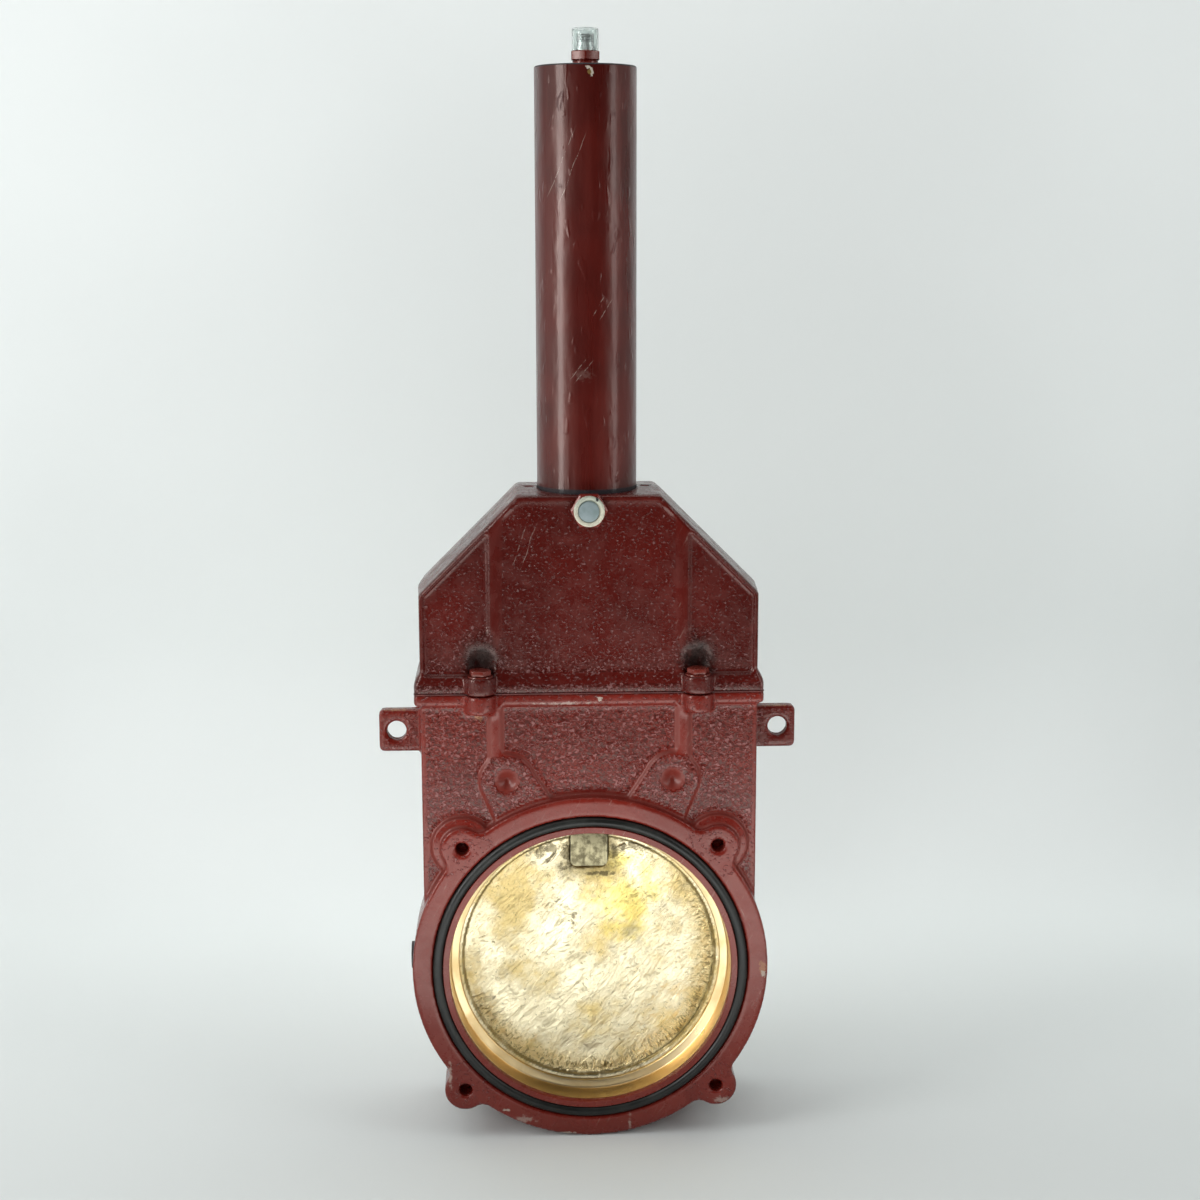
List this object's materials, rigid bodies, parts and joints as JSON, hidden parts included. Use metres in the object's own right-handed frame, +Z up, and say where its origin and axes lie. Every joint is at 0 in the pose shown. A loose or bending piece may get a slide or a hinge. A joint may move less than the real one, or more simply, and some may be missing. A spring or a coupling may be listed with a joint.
{
  "type": "hydraulic tanker gate valve",
  "caption": "Cast gate valve for a tanker outlet: round flanged body, sloping bonnet, sliding brass gate and an upright oil cylinder that lifts it.",
  "frame": {"origin": "centre of the waterway on the sealing face of the rear flange", "axes": "+Z up along the oil cylinder, +Y out of the rear flange, +X to the right when the front flange is looked at"},
  "size_m": [0.321, 0.1114, 0.836],
  "materials": {
    "cast_paint": "red-brown paint over rough casting, semi-gloss",
    "tube_paint": "red-brown paint on smooth steel, semi-gloss",
    "seat_brass": "turned brass, satin",
    "gate_brass": "rough-cast brass, bright",
    "seal_rubber": "black nitrile, matt",
    "bright_steel": "machined steel",
    "clear_plastic": "clear thread cap",
    "grey_plastic": "pale grey moulded plug",
    "dark_plug": "dark screw plug",
    "guide_plastic": "piston guide band"
  },
  "bodies": {
    "valve": {"body_casting": "cast_paint", "bonnet_casting": "cast_paint", "bonnet_gasket": "seal_rubber", "front_seat_ring": "seat_brass", "rear_seat_ring": "seat_brass", "front_seat_seal": "seal_rubber", "rear_seat_seal": "seal_rubber", "front_flange_o_ring": "seal_rubber", "rear_flange_o_ring": "seal_rubber", "rod_gland": "bright_steel", "gland_rod_seal": "seal_rubber", "gland_wiper": "seal_rubber", "gland_o_ring": "seal_rubber", "cylinder_tube": "tube_paint", "cylinder_end_cap": "tube_paint", "top_port_adapter": "tube_paint", "top_port_washer": "bright_steel", "top_port_cap": "clear_plastic", "lower_port_adapter": "tube_paint", "lower_port_washer": "bright_steel", "lower_port_plug": "grey_plastic", "side_plug": "dark_plug"},
    "gate_train": {"gate": "gate_brass", "gate_pin": "bright_steel", "piston_rod": "bright_steel", "piston": "bright_steel", "piston_lower_seal": "seal_rubber", "piston_upper_seal": "seal_rubber", "piston_guide_ring": "guide_plastic", "piston_nut": "bright_steel"}
  },
  "joints": [
    {"name": "gate_slide", "type": "slide", "parent": "valve", "child": "gate_train", "axis": [0, 0, 1], "range_m": [0, 0.214]}
  ]
}
